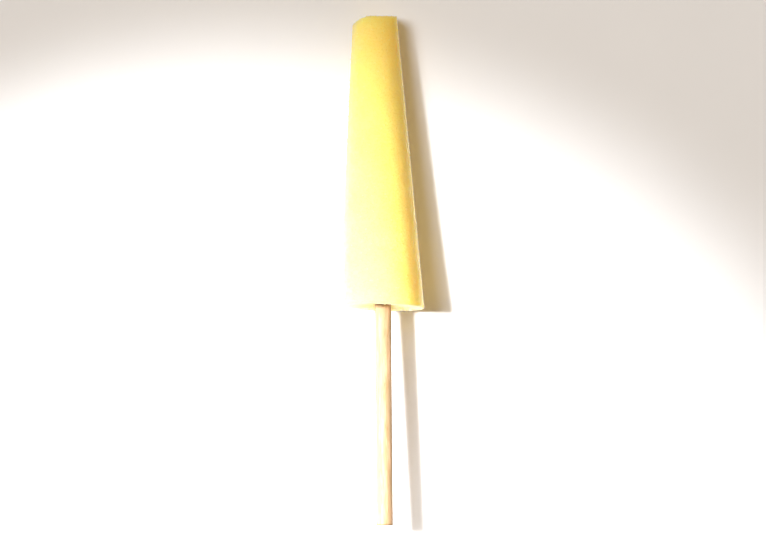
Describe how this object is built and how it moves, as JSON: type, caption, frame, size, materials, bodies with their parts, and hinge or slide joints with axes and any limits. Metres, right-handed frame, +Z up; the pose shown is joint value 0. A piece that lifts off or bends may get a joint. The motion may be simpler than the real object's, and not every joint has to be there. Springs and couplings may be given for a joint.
{
  "type": "foam swab",
  "caption": "Tapered block of yellow open-cell foam glued on a round wooden dowel handle, for swabbing, dabbing or cleaning out tubes.",
  "frame": {"origin": "on the table that the swab lies on, under the middle of its bounding box", "axes": "+X towards the foam's narrow end, -X towards the handle's free end, +Z up from the table"},
  "size_m": [0.1972, 0.0323, 0.032],
  "materials": {
    "foam": "matte",
    "wood": "matte",
    "adhesive": "satin"
  },
  "bodies": {
    "root": {"foam_head": "foam", "dowel_handle": "wood", "adhesive_sleeve": "adhesive"}
  },
  "joints": []
}
